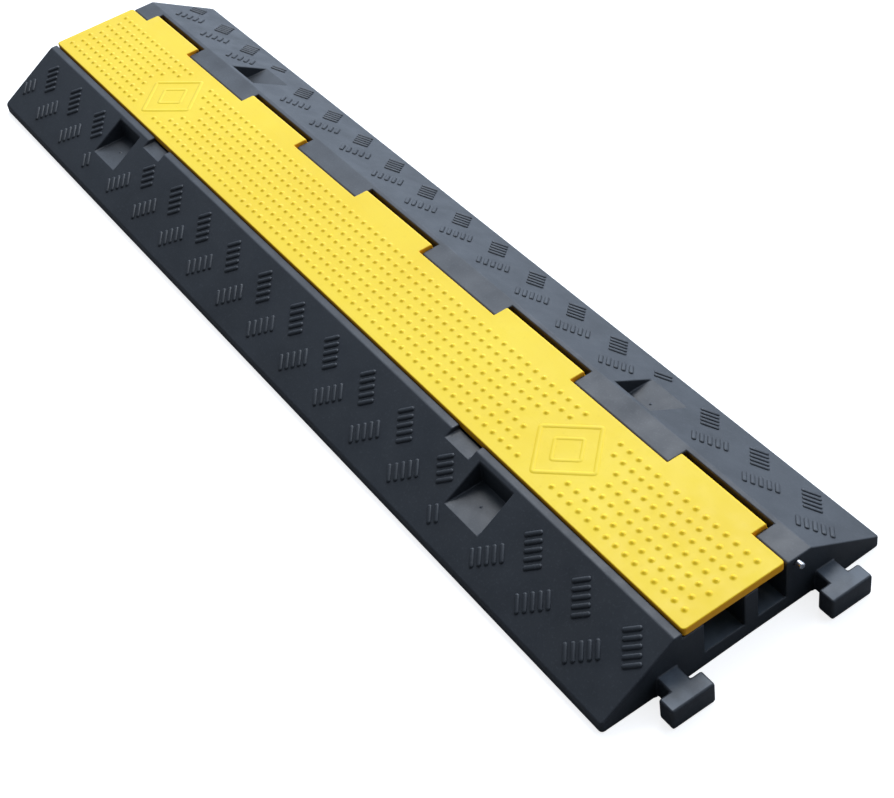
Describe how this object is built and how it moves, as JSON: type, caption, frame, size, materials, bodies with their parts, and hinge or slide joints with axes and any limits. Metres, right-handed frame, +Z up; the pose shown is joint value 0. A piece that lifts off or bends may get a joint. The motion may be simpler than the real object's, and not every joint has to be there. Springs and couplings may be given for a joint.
{
  "type": "cable protector ramp",
  "caption": "Low rubber cable ramp with two open channels under a full-length hinged lid, sloped sides with anchor pockets, and T-shaped linking lugs and sockets at its ends.",
  "frame": {"origin": "middle of the flat underside, halfway between the two end faces", "axes": "+X along the ramp towards the end with the linking lugs, +Y across it towards the hinge, +Z up"},
  "size_m": [1.028, 0.25, 0.05],
  "materials": {
    "black_rubber": "matt moulded rubber",
    "yellow_pvc": "semi-gloss moulded PVC",
    "steel": "bright drawn rod"
  },
  "bodies": {
    "base": {"ramp_base": "black_rubber", "hinge_rod": "steel"},
    "lid": {"channel_lid": "yellow_pvc"}
  },
  "joints": [
    {"name": "lid_hinge", "type": "hinge", "parent": "base", "child": "lid", "pos_m": [0, 0.047, 0.0425], "axis": [-1, 0, 0], "range_deg": [0, 95]}
  ]
}
